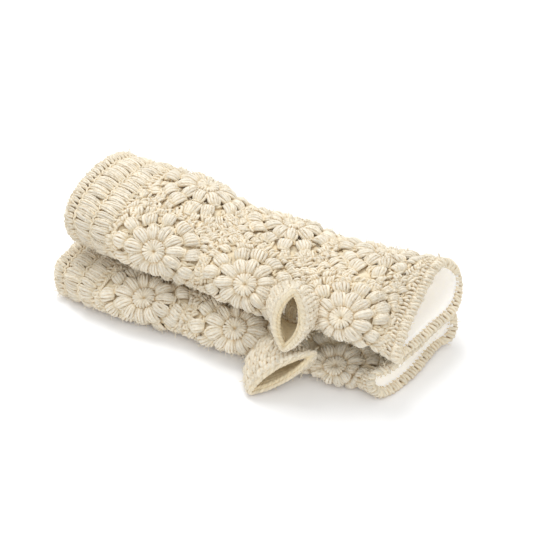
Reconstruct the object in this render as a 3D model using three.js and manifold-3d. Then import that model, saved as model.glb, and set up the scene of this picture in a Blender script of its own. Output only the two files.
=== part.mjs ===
// A pair of fingerless gloves, crocheted in thick wool and lined with fleece, one lying on the other.
// Each glove is a sleeve of nine flower squares, three along by three around, with a cuff, an edging at
// both mouths, a fleece lining and a short thumb tube. Millimetres, +X towards the fingers, +Z up, and
// -Y is the side that the thumbs leave from. The pair lies on z = 0.
import * as THREE from "three";
import Module from "manifold-3d";
import { mergeVertices } from "three/addons/utils/BufferGeometryUtils.js";

// What the sleeve is made of, from the wrist to the fingers.
const wristEdgingLength = 7;
const cuffLength = 31;
const squareSide = 77.5;
const squaresAlong = 3;
const fingerEdgingLength = 9.5;
const sides = ["near", "far", "under"]; // the squares of one round, from the fold under the thumb

const crochetWall = 5;
const liningWall = 2;
const joinWidth = 3; // the braid of yarn that joins two squares
const gap = 0.3; // between pieces that touch
const liningSetBack = 4; // the lining ends this far inside each mouth
const threadWidth = 1.2; // the hem thread that holds the lining's end
const liningDepth = crochetWall + gap;
const innerDepth = liningDepth + liningWall;
const threadDepth = liningDepth + 2 * gap;

// The thumb tube: an oval, its half width along the sleeve and its half height round the fold.
const thumbRootHalfWidth = 23;
const thumbRootHalfHeight = 16;
const thumbEdgingLength = 4;
const thumbLiningSetBack = 3;
const thumbClearance = 1.3; // between the tube and the sleeve, so that the tube can swing
const thumbStart = 0.05; // the tube's walls start inside the fold, at this share of its length
const rootBend = 0.15; // how straight the tube leaves the fold, as a share of its reach
const mouthBend = 0.5; // how straight the tube comes to its mouth, as a share of its reach
const passageSteps = 6;

// How finely the pieces are drawn.
const cornersPerSquare = 8; // round the sleeve, for each square
const thumbCorners = 16;
const thumbSteps = 5;
const sameCorner = 1e-3; // corners closer than this are one corner
const samePlace = 1e-6;

// Where the stations of a sleeve's shape stand.
const cuffEnd = wristEdgingLength + cuffLength;
const squaresEnd = cuffEnd + squaresAlong * squareSide;
const sleeveLength = squaresEnd + fingerEdgingLength;
const thumbAt = cuffEnd + (squaresAlong - 1) * squareSide;
const stationsAt = [0, cuffEnd, cuffEnd + squareSide, thumbAt, sleeveLength];

// The flattened sleeve at those stations: width, thickness, the shift of its middle towards +Y, and
// the slant of its rounds, as the travel towards the fingers for each millimetre across.
const lowerGlove = {
  name: "lower",
  start: -144,
  bottom: 0,
  width: [104, 106, 101, 96, 95],
  thickness: [26, 30, 32, 32, 29],
  shift: [-20, -20, -17, -14, -10],
  slant: [0, 0, 0, 0, 0.11],
};
const upperGlove = {
  name: "upper",
  start: -143,
  bottom: Math.max(...lowerGlove.thickness) + gap,
  width: [101, 105, 97, 95, 103],
  thickness: [42, 41, 33, 32, 35],
  shift: [2, 3, -1, -2, 1],
  slant: [0, 0, 0, 0, 0.11],
};

// Each thumb tube: the angle above the table at which it leaves the fold, the reach of its mouth from
// there, the mouth's two half axes, how far it is drawn to a point at the ends of its long one, the
// direction of the first, and the way the mouth faces. It turns about the middle of the fold, between
// the two angles of its swing.
const lowerThumb = {
  rise: -5,
  reach: [9, -13, 4],
  halfWidth: 30,
  halfHeight: 12,
  pointed: [0, 0.3],
  across: [0.64, 0.57, 0.51],
  facing: [0.54, -0.83, -0.17],
  hinge: [0, 0, 1],
  swing: [-15, 12],
};
const upperThumb = {
  rise: 30,
  reach: [7, -19, 7],
  halfWidth: 13.5,
  halfHeight: 25.5,
  pointed: [0.5, 0],
  across: [1, 0.05, -0.04],
  facing: [0.06, -0.96, 0.29],
  hinge: [-1, 0, 0],
  swing: [0, 35],
};

const wool = { color: 0xdccfb4, roughness: 0.95, metalness: 0 };
const fleece = { color: 0xf0ece2, roughness: 1, metalness: 0 };
const thread = { color: 0xe6dcc4, roughness: 0.9, metalness: 0 };

const wasm = await Module();
wasm.setup();

// ---- The sleeve's surface ----

// A station list read at a place along the sleeve, eased from one station to the next.
function eased(values, along) {
  const last = stationsAt.length - 1;
  let i = 0;
  while (i < last - 1 && along > stationsAt[i + 1]) {
    i++;
  }
  const t = THREE.MathUtils.smoothstep(along, stationsAt[i], stationsAt[i + 1]);
  return THREE.MathUtils.lerp(values[i], values[i + 1], t);
}

// The section at one place: flat above and below, with a half circle at each fold.
function section(glove, along) {
  const radius = eased(glove.thickness, along) / 2;
  const straight = eased(glove.width, along) - 2 * radius;
  return {
    radius,
    straight,
    arc: Math.PI * radius,
    perimeter: 2 * straight + 2 * Math.PI * radius,
    middle: eased(glove.shift, along),
  };
}

// A point of the sleeve. round goes from 0 to 1 about it: from under the near fold, up over the fold,
// across the top, down the far fold and back below. depth is measured inwards from the outside.
function sleevePoint(glove, along, round, depth) {
  const s = section(glove, along);
  const walked = (round - Math.floor(round)) * s.perimeter;
  let y, z, ny, nz;
  if (walked < s.arc) {
    const turn = walked / s.radius;
    [ny, nz] = [-Math.sin(turn), -Math.cos(turn)];
    [y, z] = [-s.straight / 2 + s.radius * ny, s.radius * nz];
  } else if (walked < s.arc + s.straight) {
    [ny, nz] = [0, 1];
    [y, z] = [-s.straight / 2 + walked - s.arc, s.radius];
  } else if (walked < 2 * s.arc + s.straight) {
    const turn = (walked - s.arc - s.straight) / s.radius;
    [ny, nz] = [Math.sin(turn), Math.cos(turn)];
    [y, z] = [s.straight / 2 + s.radius * ny, s.radius * nz];
  } else {
    [ny, nz] = [0, -1];
    [y, z] = [s.straight / 2 - (walked - 2 * s.arc - s.straight), -s.radius];
  }
  return new THREE.Vector3(
    glove.start + along + eased(glove.slant, along) * y,
    s.middle + y - depth * ny,
    glove.bottom + s.radius + z - depth * nz,
  );
}

// ---- Solids ----

// A wall closed on itself through rings of points: out along the outside, back along the inside. Both
// faces split their quads the same way, so that one wall fits round another without touching it.
function closedTube(rows) {
  const count = rows[0].length;
  const position = rows.flat().flatMap((p) => [p.x, p.y, p.z]);
  const index = [];
  rows.forEach((_, i) => {
    const next = (i + 1) % rows.length;
    for (let j = 0; j < count; j++) {
      const k = (j + 1) % count;
      const corners = [i * count + j, i * count + k, next * count + k, next * count + j];
      index.push(...splitQuad(corners, i >= rows.length / 2));
    }
  });
  return geometry(position, index);
}

function splitQuad([a, b, c, d], otherWay) {
  return otherWay ? [a, b, d, b, c, d] : [a, b, c, a, c, d];
}

function geometry(position, index) {
  const made = new THREE.BufferGeometry();
  made.setAttribute("position", new THREE.Float32BufferAttribute(position, 3));
  made.setIndex(index);
  return made;
}

function toSolid(made) {
  const merged = mergeVertices(made, sameCorner);
  const build = (triVerts) =>
    new wasm.Manifold(
      new wasm.Mesh({ numProp: 3, vertProperties: merged.attributes.position.array, triVerts }),
    );
  const triVerts = new Uint32Array(merged.index.array);
  const solid = build(triVerts);
  return solid.volume() > 0 ? solid : build(triVerts.reverse());
}

function toGeometry(solid) {
  const mesh = solid.getMesh();
  return geometry(Array.from(mesh.vertProperties), Array.from(mesh.triVerts));
}

function span(from, to, pieces) {
  return Array.from({ length: pieces + 1 }, (_, i) => from + ((to - from) * i) / pieces);
}

// Every piece of a sleeve has its corners at these same places, so that faces that touch run alike.
const roundPlaces = span(0, 1, sides.length * cornersPerSquare).slice(0, -1);
const alongPlaces = [
  ...span(0, wristEdgingLength, 1),
  ...span(wristEdgingLength, cuffEnd, 2),
  ...span(cuffEnd, squaresEnd, squaresAlong * 3),
  sleeveLength,
];

// The two ends, and the shared places that lie between them.
function placesBetween(places, from, to) {
  return [from, ...places.filter((p) => p > from + gap && p < to - gap), to];
}

// A ring of sleeve wall between two places along it.
function ring(glove, from, to, outer, inner) {
  const along = placesBetween(alongPlaces, from, to);
  const row = (x, depth) => roundPlaces.map((r) => sleevePoint(glove, x, r, depth));
  return toSolid(
    closedTube([...along.map((x) => row(x, outer)), ...along.reverse().map((x) => row(x, inner))]),
  );
}

// One square's piece of the wall, drawn in by inset on its four edges.
function panel(glove, column, row, inset, outer, inner) {
  const start = cuffEnd + column * squareSide;
  const along = placesBetween(alongPlaces, start + inset, start + squareSide - inset);
  const [first, last] = [row / sides.length, (row + 1) / sides.length];
  const between = roundPlaces.filter((r) => r > first + samePlace && r < last - samePlace);
  const line = (x, depth) => {
    const drawn = inset / section(glove, x).perimeter;
    return [first + drawn, ...between, last - drawn].map((r) => sleevePoint(glove, x, r, depth));
  };
  return capped(
    along.map((x) => [...line(x, outer), ...line(x, inner).reverse()]),
    true,
  );
}

// A solid through a run of rings, with a cap at both ends. A panel's rings run out along its outside
// and back along its inside.
function capped(rows, isPanel = false) {
  const count = rows[0].length;
  const position = rows.flat().flatMap((p) => [p.x, p.y, p.z]);
  const index = [];
  for (let i = 0; i < rows.length - 1; i++) {
    for (let j = 0; j < count; j++) {
      const k = (j + 1) % count;
      const corners = [i * count + j, i * count + k, (i + 1) * count + k, (i + 1) * count + j];
      index.push(...splitQuad(corners, isPanel && j >= count / 2));
    }
  }
  const last = (rows.length - 1) * count;
  for (let j = 0; j < count / 2 - 1; j++) {
    const [a, b, c, d] = [j, j + 1, count - 2 - j, count - 1 - j];
    index.push(a, c, b, a, d, c);
    index.push(last + a, last + b, last + c, last + a, last + c, last + d);
  }
  return toSolid(geometry(position, index));
}

// The sleeve as one solid bar, grown by a clearance and turned, which cuts whatever stands on it.
function sleeveBar(glove, grown, turn) {
  const ringAt = (x) => roundPlaces.map((r) => sleevePoint(glove, x, r, -grown).applyMatrix4(turn));
  return capped(alongPlaces.map(ringAt));
}

// ---- The thumb tube ----

function thumbFrame(glove, thumb) {
  const s = section(glove, thumbAt);
  const rise = THREE.MathUtils.degToRad(thumb.rise);
  const out = new THREE.Vector3(0, -Math.cos(rise), Math.sin(rise));
  const foldCentre = new THREE.Vector3(
    glove.start + thumbAt,
    s.middle - s.straight / 2,
    glove.bottom + s.radius,
  );
  const root = foldCentre.clone().addScaledVector(out, s.radius);
  const across = new THREE.Vector3(...thumb.across).normalize();
  const facing = new THREE.Vector3(...thumb.facing);
  facing.addScaledVector(across, -facing.dot(across)).normalize();
  const down = facing.clone().cross(across).negate();
  const mouth = root.clone().add(new THREE.Vector3(...thumb.reach));
  return { out, foldCentre, root, mouth, across, down, facing };
}

// A ring of the tube at t from 0 at the root to 1 at the mouth, drawn in by depth.
function thumbRing(glove, thumb, t, depth) {
  const f = thumbFrame(glove, thumb);
  const reach = f.root.distanceTo(f.mouth);
  const centre = new THREE.CubicBezierCurve3(
    f.foldCentre,
    f.root.clone().addScaledVector(f.out, reach * rootBend),
    f.mouth.clone().addScaledVector(f.facing, -reach * mouthBend),
    f.mouth,
  ).getPoint(t);
  const alongSleeve = new THREE.Vector3(1, 0, 0).lerp(f.across, t).normalize();
  const overFold = new THREE.Vector3(0, -f.out.z, f.out.y).lerp(f.down, t).normalize();
  const halfWidth = THREE.MathUtils.lerp(thumbRootHalfWidth, thumb.halfWidth, t) - depth;
  const halfHeight = THREE.MathUtils.lerp(thumbRootHalfHeight, thumb.halfHeight, t) - depth;
  const [pointWidth, pointHeight] = thumb.pointed;
  const drawn = (value, power) => value * Math.abs(value) ** (power * t);
  return span(0, 2 * Math.PI, thumbCorners)
    .slice(0, -1)
    .map((turn) =>
      centre
        .clone()
        .addScaledVector(alongSleeve, halfWidth * drawn(Math.cos(turn), pointWidth))
        .addScaledVector(overFold, halfHeight * drawn(Math.sin(turn), pointHeight)),
    );
}

// The sleeve as the tube meets it, at rest and at both ends of the tube's swing.
function sleeveAsSwung(glove, thumb) {
  const pivot = thumbFrame(glove, thumb).foldCentre;
  const bars = [...new Set([0, ...thumb.swing])].map((degrees) => {
    const back = THREE.MathUtils.degToRad(-degrees);
    const turn = new THREE.Matrix4()
      .makeTranslation(pivot)
      .multiply(new THREE.Matrix4().makeRotationAxis(new THREE.Vector3(...thumb.hinge), back))
      .multiply(new THREE.Matrix4().makeTranslation(pivot.clone().negate()));
    return sleeveBar(glove, thumbClearance, turn);
  });
  return bars.reduce((all, bar) => all.add(bar));
}

// Tube wall through a run of places, between two depths, and cut clear of the sleeve.
function thumbWall(glove, thumb, sleeve, run, outer, inner) {
  const places = [...run];
  const made = toSolid(
    closedTube([
      ...places.map((t) => thumbRing(glove, thumb, t, outer)),
      ...places.reverse().map((t) => thumbRing(glove, thumb, t, inner)),
    ]),
  );
  const pieces = made.subtract(sleeve).decompose();
  return pieces.sort((a, b) => b.volume() - a.volume())[0];
}

// The way from the hand's space into the thumb, which cuts the sleeve.
function thumbPassage(glove, thumb) {
  return capped(span(0, 1, passageSteps).map((t) => thumbRing(glove, thumb, t, innerDepth)));
}

// ---- One glove ----

function makeGlove(glove, thumb) {
  const group = new THREE.Group();
  const add = (name, solid, look) => {
    const mesh = new THREE.Mesh(toGeometry(solid), new THREE.MeshStandardMaterial(look));
    mesh.name = glove.name + "_" + name;
    group.add(mesh);
  };
  const passage = thumbPassage(glove, thumb);

  add("wrist_edging", ring(glove, 0, wristEdgingLength - gap, 0, crochetWall), wool);
  add("cuff", ring(glove, wristEdgingLength, cuffEnd - gap, 0, crochetWall), wool);
  add("finger_edging", ring(glove, squaresEnd + gap, sleeveLength, 0, crochetWall), wool);

  // The nine squares, and the braid that is left of the wall between them.
  let braid = ring(glove, cuffEnd, squaresEnd, 0, crochetWall);
  for (let column = 0; column < squaresAlong; column++) {
    sides.forEach((side, row) => {
      const square = panel(glove, column, row, joinWidth / 2 + gap, 0, crochetWall);
      add(`square_${side}_${column + 1}`, square.subtract(passage), wool);
      braid = braid.subtract(panel(glove, column, row, joinWidth / 2, -1, crochetWall + 1));
    });
  }
  add("joining_braid", braid.subtract(passage), wool);

  const lining = ring(glove, liningSetBack, sleeveLength - liningSetBack, liningDepth, innerDepth);
  add("lining", lining.subtract(passage), fleece);
  const hem = (from) => ring(glove, from, from + threadWidth, threadDepth, threadDepth + threadWidth);
  add("hem_thread_wrist", hem(liningSetBack - gap - threadWidth), thread);
  add("hem_thread_fingers", hem(sleeveLength - liningSetBack + gap), thread);

  // The thumb: its places are shares of the way from root to mouth, and its pieces use the same ones.
  const f = thumbFrame(glove, thumb);
  const tubeLength = f.foldCentre.distanceTo(f.mouth);
  const edgingFrom = 1 - thumbEdgingLength / tubeLength;
  const liningTo = 1 - thumbLiningSetBack / tubeLength;
  const hemFrom = liningTo + gap / tubeLength;
  const hemTo = hemFrom + threadWidth / tubeLength;
  const body = span(thumbStart, edgingFrom - gap / tubeLength, thumbSteps);
  const places = [...body, edgingFrom, liningTo, hemFrom, hemTo, 1];
  const run = (from, to) => places.filter((t) => t >= from && t <= to);
  const sleeve = sleeveAsSwung(glove, thumb);
  const wall = (places, outer, inner) => thumbWall(glove, thumb, sleeve, places, outer, inner);
  add("thumb_tube", wall(body, 0, crochetWall), wool);
  add("thumb_edging", wall(run(edgingFrom, 1), 0, crochetWall), wool);
  add("thumb_lining", wall(run(0, liningTo), liningDepth, innerDepth), fleece);
  add("thumb_hem_thread", wall(run(hemFrom, hemTo), threadDepth, threadDepth + threadWidth), thread);
  return group;
}

const pair = new THREE.Group();
pair.add(makeGlove(lowerGlove, lowerThumb), makeGlove(upperGlove, upperThumb));

// The origin is under the middle of the pair, on the table.
const box = new THREE.Box3().setFromObject(pair);
const middle = box.getCenter(new THREE.Vector3());
pair.traverse((o) => o.isMesh && o.geometry.translate(-middle.x, -middle.y, 0));

export default pair;
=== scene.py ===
import math

import bpy
import numpy as np
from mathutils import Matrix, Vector


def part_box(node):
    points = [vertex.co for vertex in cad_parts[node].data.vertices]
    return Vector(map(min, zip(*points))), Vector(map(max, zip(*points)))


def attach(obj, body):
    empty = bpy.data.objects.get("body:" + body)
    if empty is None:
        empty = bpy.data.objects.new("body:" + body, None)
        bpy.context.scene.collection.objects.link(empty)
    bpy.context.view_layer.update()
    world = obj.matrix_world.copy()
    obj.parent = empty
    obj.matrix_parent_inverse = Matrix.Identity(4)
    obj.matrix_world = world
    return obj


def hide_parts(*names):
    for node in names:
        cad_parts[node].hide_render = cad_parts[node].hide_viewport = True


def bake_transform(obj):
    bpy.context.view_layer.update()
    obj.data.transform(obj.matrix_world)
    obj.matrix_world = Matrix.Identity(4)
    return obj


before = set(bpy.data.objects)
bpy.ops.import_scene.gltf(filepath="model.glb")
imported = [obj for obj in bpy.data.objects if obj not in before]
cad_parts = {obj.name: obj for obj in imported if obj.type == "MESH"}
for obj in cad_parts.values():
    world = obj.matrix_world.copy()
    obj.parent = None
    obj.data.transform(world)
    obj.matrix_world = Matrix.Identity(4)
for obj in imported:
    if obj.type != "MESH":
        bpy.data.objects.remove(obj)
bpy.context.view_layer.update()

mm = 0.001                                   # lengths below are millimetres until a mesh is made
turn = 2 * math.pi


studio = dict(azimuth=28.2, elevation=41.0, distance=1.0, lens=87.5, aim=(0.0007, 0.0289, 0.030),
              floorSize=6.0, floorColour=(0.985, 0.99, 1.0), worldStrength=0.85,
              keyPower=10.5, keySize=0.9, keyPlace=(-0.45, 0.5, 1.2),
              fillPower=2.2, fillSize=1.2, fillPlace=(0.5, -0.9, 0.8))


def feed(socket, value):
    # another socket is linked to this one, and anything else is its value
    if isinstance(value, bpy.types.NodeSocket):
        socket.id_data.links.new(value, socket)
    else:
        socket.default_value = value


def setInputs(node, **values):
    # inputs by their labels, with _ for a space
    for label, value in values.items():
        feed(node.inputs[label.replace("_", " ")], value)


def newNode(tree, kind, **values):
    # the node's own settings start with a small letter, and its inputs with a capital
    made = tree.nodes.new(kind)
    for key, value in values.items():
        if key[0].islower():
            setattr(made, key, value)
    setInputs(made, **{key: value for key, value in values.items() if key[0].isupper()})
    return made


def newMaterial(name, **values):
    made = bpy.data.materials.new(name)
    made.use_nodes = True
    shader = made.node_tree.nodes["Principled BSDF"]
    setInputs(shader, **values)
    return made, made.node_tree, shader


def addObject(name, data):
    made = bpy.data.objects.new(name, data)
    bpy.context.collection.objects.link(made)
    return made


def makeCamera():
    a, e = math.radians(studio["azimuth"]), math.radians(studio["elevation"])
    back = Vector((math.sin(a) * math.cos(e), -math.cos(a) * math.cos(e), math.sin(e)))
    camera = addObject("camera", bpy.data.cameras.new("camera"))
    camera.data.lens = studio["lens"]
    camera.data.sensor_width = 36
    camera.location = Vector(studio["aim"]) + back * studio["distance"]
    camera.rotation_euler = back.to_track_quat("Z", "Y").to_euler()
    bpy.context.scene.camera = camera


def softbox(name):
    lamp = addObject(name, bpy.data.lights.new(name, "AREA"))
    lamp.data.shape = "DISK"
    lamp.data.energy = studio[name + "Power"]
    lamp.data.size = studio[name + "Size"]
    lamp.location = studio[name + "Place"]
    away = Vector(studio[name + "Place"]) - Vector(studio["aim"])
    lamp.rotation_euler = away.to_track_quat("Z", "Y").to_euler()


def makeStudio():
    world = bpy.data.worlds.new("studioSky")
    world.use_nodes = True
    setInputs(world.node_tree.nodes["Background"], Color=(1, 1, 1, 1), Strength=studio["worldStrength"])
    bpy.context.scene.world = world
    bpy.context.scene.view_settings.view_transform = "Standard"
    half = studio["floorSize"] / 2
    corners = [(-half, -half, 0), (half, -half, 0), (half, half, 0), (-half, half, 0)]
    mesh = bpy.data.meshes.new("floor")
    mesh.from_pydata(corners, [], [(0, 1, 2, 3)])
    mesh.materials.append(newMaterial("paleFloor", Base_Color=(*studio["floorColour"], 1), Roughness=0.9,
                                      Specular_IOR_Level=0.1)[0])
    addObject("floor", mesh)
    softbox("key")
    softbox("fill")


makeCamera()
makeStudio()
print("studio ready")


def mathNode(tree, operation, *values):
    made = newNode(tree, "ShaderNodeMath", operation=operation)
    for socket, value in zip(made.inputs, values):
        feed(socket, value)
    return made.outputs[0]


def mixColour(tree, factor, first, second, blend="MIX"):
    made = newNode(tree, "ShaderNodeMix", data_type="RGBA", blend_type=blend)
    for index, value in ((0, factor), (6, first), (7, second)):
        feed(made.inputs[index], (*value, 1) if isinstance(value, tuple) else value)
    return made.outputs[2]


def attribute(tree, name):
    return newNode(tree, "ShaderNodeAttribute", attribute_name=name).outputs["Fac"]


def noise(tree, place, **values):
    return newNode(tree, "ShaderNodeTexNoise", Vector=place, **values).outputs["Fac"]


def objectPlace(tree):
    return newNode(tree, "ShaderNodeTexCoord").outputs["Object"]


# light is the wool's own colour; the deep, crevice and gloom colours are painted shade
woolLook = dict(light=(0.80, 0.745, 0.63), deepShade=(0.78, 0.67, 0.46), creviceShade=(0.66, 0.475, 0.24),
                creviceShadeReach=0.0024, gloom=(0.50, 0.345, 0.175), gloomReach=0.016, gloomUpTo=0.3,
                mottleScale=520.0, fibreBump=0.6, plyBump=0.4, plyPitch=0.0065, plies=3, sheen=0.25,
                roughness=0.92)


def woolMaterial():
    made, tree, shader = newMaterial("creamWool", Roughness=woolLook["roughness"], Specular_IOR_Level=0.15,
                                     Sheen_Weight=woolLook["sheen"], Sheen_Roughness=0.6,
                                     Sheen_Tint=(1.0, 0.95, 0.85, 1))

    # painted shade: the further down a strand lies between its neighbours, the more it takes a tan colour
    # that stands for the shade there
    depth = mathNode(tree, "POWER", attribute(tree, "depth"), 0.8)
    colour = mixColour(tree, depth, woolLook["deepShade"], woolLook["light"])
    # painted shade: where other wool lies close round a spot, its colour goes towards a tan crevice shade
    occlusion = newNode(tree, "ShaderNodeAmbientOcclusion", samples=6, Distance=woolLook["creviceShadeReach"])
    hollow = mathNode(tree, "POWER", occlusion.outputs["AO"], 0.9)
    colour = mixColour(tree, hollow, woolLook["creviceShade"], colour)
    # between the two gloves the wool is in deep shade
    wider = newNode(tree, "ShaderNodeAmbientOcclusion", samples=4, Distance=woolLook["gloomReach"])
    gloom = newNode(tree, "ShaderNodeMapRange", interpolation_type="SMOOTHSTEP", Value=wider.outputs["AO"],
                    From_Max=woolLook["gloomUpTo"])
    colour = mixColour(tree, gloom.outputs[0], woolLook["gloom"], colour)

    # each strand has its own shade, and the fleece that it was spun from is mottled
    tint = mathNode(tree, "MULTIPLY_ADD", attribute(tree, "tint"), 0.16, 0.9)
    mottle = noise(tree, objectPlace(tree), Scale=woolLook["mottleScale"], Detail=4.0)
    shade = mathNode(tree, "MULTIPLY", mathNode(tree, "MULTIPLY_ADD", mottle, 0.4, 0.8), tint)
    grey = newNode(tree, "ShaderNodeCombineColor", Red=shade, Green=shade, Blue=shade)
    colour = mixColour(tree, 1.0, colour, grey.outputs[0], "MULTIPLY")

    # plies wind round the strand, and hairs run along them
    uv = newNode(tree, "ShaderNodeUVMap", uv_map="UVMap").outputs[0]
    length, girth = newNode(tree, "ShaderNodeSeparateXYZ", Vector=uv).outputs[:2]
    along = mathNode(tree, "MULTIPLY", length, 1 / woolLook["plyPitch"])
    around = mathNode(tree, "MULTIPLY", girth, float(woolLook["plies"]))
    wound = mathNode(tree, "MULTIPLY", mathNode(tree, "ADD", along, around), turn)
    ply = mathNode(tree, "ABSOLUTE", mathNode(tree, "SINE", mathNode(tree, "MULTIPLY", wound, 0.5)))
    stretch = newNode(tree, "ShaderNodeCombineXYZ", X=mathNode(tree, "MULTIPLY", length, 260.0),
                      Y=mathNode(tree, "ADD", mathNode(tree, "MULTIPLY", girth, 9.0), along),
                      Z=mathNode(tree, "MULTIPLY", attribute(tree, "tint"), 40.0))
    fibres = noise(tree, stretch.outputs[0], Scale=1.0, Detail=4.0, Roughness=0.6)
    plyRelief = newNode(tree, "ShaderNodeBump", Strength=woolLook["plyBump"], Distance=0.0004, Height=ply)
    relief = newNode(tree, "ShaderNodeBump", Strength=woolLook["fibreBump"], Distance=0.0006, Height=fibres,
                     Normal=plyRelief.outputs[0])
    setInputs(shader, Base_Color=colour, Normal=relief.outputs[0])
    return made


fleeceLook = dict(thin=(0.90, 0.86, 0.77), thick=(0.96, 0.94, 0.88), paintedGlow=0.17, clumpScale=420.0,
                  napScale=2600.0, bump=0.5)


def fleeceMaterial():
    # the fleece's slight glow is painted light, which brightens it where it lies in shade inside the mouths
    made, tree, shader = newMaterial("whiteFleece", Roughness=1.0, Specular_IOR_Level=0.1,
                                     Subsurface_Weight=0.6, Subsurface_Radius=(0.006, 0.006, 0.005),
                                     Subsurface_Scale=1.0, Sheen_Weight=0.5, Sheen_Roughness=0.7,
                                     Emission_Color=(1.0, 0.94, 0.84, 1),
                                     Emission_Strength=fleeceLook["paintedGlow"])
    place = objectPlace(tree)
    clumps = noise(tree, place, Scale=fleeceLook["clumpScale"], Detail=5.0, Roughness=0.65)
    nap = noise(tree, place, Scale=fleeceLook["napScale"], Detail=2.0)
    relief = newNode(tree, "ShaderNodeBump", Strength=fleeceLook["bump"], Distance=0.0006,
                     Height=mathNode(tree, "ADD", clumps, nap))
    setInputs(shader, Base_Color=mixColour(tree, clumps, fleeceLook["thin"], fleeceLook["thick"]),
              Normal=relief.outputs[0])
    return made


fibreLook = dict(tan=(0.78, 0.68, 0.50), pale=(0.90, 0.84, 0.70), patchScale=500.0)


def fibreMaterial():
    made, tree, shader = newMaterial("looseFibre", Roughness=0.8, Sheen_Weight=0.3)
    patch = noise(tree, objectPlace(tree), Scale=fibreLook["patchScale"], Detail=2.0)
    setInputs(shader, Base_Color=mixColour(tree, patch, fibreLook["tan"], fibreLook["pale"]))
    return made


wool = woolMaterial()
fleece = fleeceMaterial()
looseFibre = fibreMaterial()
print("materials ready")


def newTree(name, **inputs):
    tree = bpy.data.node_groups.new(name, "GeometryNodeTree")
    for label, kind in (("Geometry", "Geometry"), *inputs.items()):
        tree.interface.new_socket(label, in_out="INPUT", socket_type="NodeSocket" + kind)
    tree.interface.new_socket("Geometry", in_out="OUTPUT", socket_type="NodeSocketGeometry")
    return tree, tree.nodes.new("NodeGroupInput").outputs


def geoNode(tree, kind, **values):
    return newNode(tree, "GeometryNode" + kind, **values)


def namedFloat(tree, name):
    return geoNode(tree, "InputNamedAttribute", data_type="FLOAT", Name=name).outputs["Attribute"]


def closeTree(tree, geometry, material):
    made = geoNode(tree, "RealizeInstances", Geometry=geometry).outputs[0]
    made = geoNode(tree, "SetMaterial", Geometry=made, Material=material).outputs[0]
    feed(tree.nodes.new("NodeGroupOutput").inputs[0], made)
    return tree


def captured(tree, geometry, value):
    made = geoNode(tree, "CaptureAttribute", Geometry=geometry)
    made.capture_items.new("FLOAT", "value")
    feed(made.inputs["value"], value)
    return made.outputs["Geometry"], made.outputs["value"]


def yarnTree():
    # spun below: lines with a yarnRadius become smooth round strands
    tree, given = newTree("spinYarn", Sides="Int", Steps="Int", Wool="Material")
    line = geoNode(tree, "MeshToCurve", Mesh=given["Geometry"]).outputs[0]
    line = geoNode(tree, "CurveSplineType", spline_type="CATMULL_ROM", Curve=line).outputs[0]
    line = geoNode(tree, "SetSplineResolution", Geometry=line, Resolution=given["Steps"]).outputs[0]
    line, along = captured(tree, line, geoNode(tree, "SplineParameter").outputs["Length"])
    ring = geoNode(tree, "CurvePrimitiveCircle", Resolution=given["Sides"], Radius=1.0).outputs[0]
    ring, around = captured(tree, ring, geoNode(tree, "SplineParameter").outputs["Factor"])
    thickness = namedFloat(tree, "yarnRadius")
    strand = geoNode(tree, "CurveToMesh", Curve=line, Profile_Curve=ring, Scale=thickness,
                     Fill_Caps=True).outputs[0]
    uv = newNode(tree, "ShaderNodeCombineXYZ", X=along, Y=around).outputs[0]
    strand = geoNode(tree, "StoreNamedAttribute", data_type="FLOAT2", domain="CORNER", Geometry=strand,
                     Name="UVMap", Value=uv).outputs[0]
    strand = geoNode(tree, "SetShadeSmooth", Geometry=strand).outputs[0]
    return closeTree(tree, strand, given["Wool"])


hairShape = dict(offTable=0.004, leastDepth=0.7, tilt=1.2, shortest=0.35)


def hairTree():
    # bent fibres that stand on the strands of the wool's outer side
    tree, given = newTree("looseHairs", Density="Float", Length="Float", Thickness="Float", Seed="Int",
                          Fibre="Material")
    height = newNode(tree, "ShaderNodeSeparateXYZ", Vector=geoNode(tree, "InputPosition").outputs[0])
    chosen = newNode(tree, "FunctionNodeBooleanMath", operation="AND")
    for index, value, least in ((0, height.outputs["Z"], hairShape["offTable"]),
                                (1, namedFloat(tree, "depth"), hairShape["leastDepth"])):
        above = newNode(tree, "FunctionNodeCompare", operation="GREATER_THAN", A=value, B=least)
        feed(chosen.inputs[index], above.outputs[0])
    spots = geoNode(tree, "DistributePointsOnFaces", Mesh=given["Geometry"], Selection=chosen.outputs[0],
                    Density=given["Density"], Seed=given["Seed"])
    bend = geoNode(tree, "CurveQuadraticBezier", Resolution=3, Start=(0, 0, -0.05), Middle=(0.0, 0.1, 0.6),
                   End=(0.45, 0.2, 0.9)).outputs[0]
    ring = geoNode(tree, "CurvePrimitiveCircle", Resolution=3, Radius=given["Thickness"]).outputs[0]
    hair = geoNode(tree, "CurveToMesh", Curve=bend, Profile_Curve=ring, Fill_Caps=True).outputs[0]
    tilt = newNode(tree, "FunctionNodeRandomValue", data_type="FLOAT_VECTOR", Seed=given["Seed"])
    tilt.inputs[0].default_value = (-hairShape["tilt"], -hairShape["tilt"], 0)
    tilt.inputs[1].default_value = (hairShape["tilt"], hairShape["tilt"], turn)
    way = newNode(tree, "FunctionNodeRotateRotation", rotation_space="LOCAL",
                  Rotation=spots.outputs["Rotation"], Rotate_By=tilt.outputs[0])
    size = newNode(tree, "FunctionNodeRandomValue", data_type="FLOAT", Seed=given["Seed"])
    size.inputs[2].default_value = hairShape["shortest"]
    size.inputs[3].default_value = 1.0
    scale = mathNode(tree, "MULTIPLY", size.outputs[1], given["Length"])
    hairs = geoNode(tree, "InstanceOnPoints", Points=spots.outputs["Points"], Instance=hair,
                    Rotation=way.outputs[0], Scale=scale).outputs[0]
    return closeTree(tree, hairs, given["Fibre"])


spinYarn = yarnTree()
looseHairs = hairTree()


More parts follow.
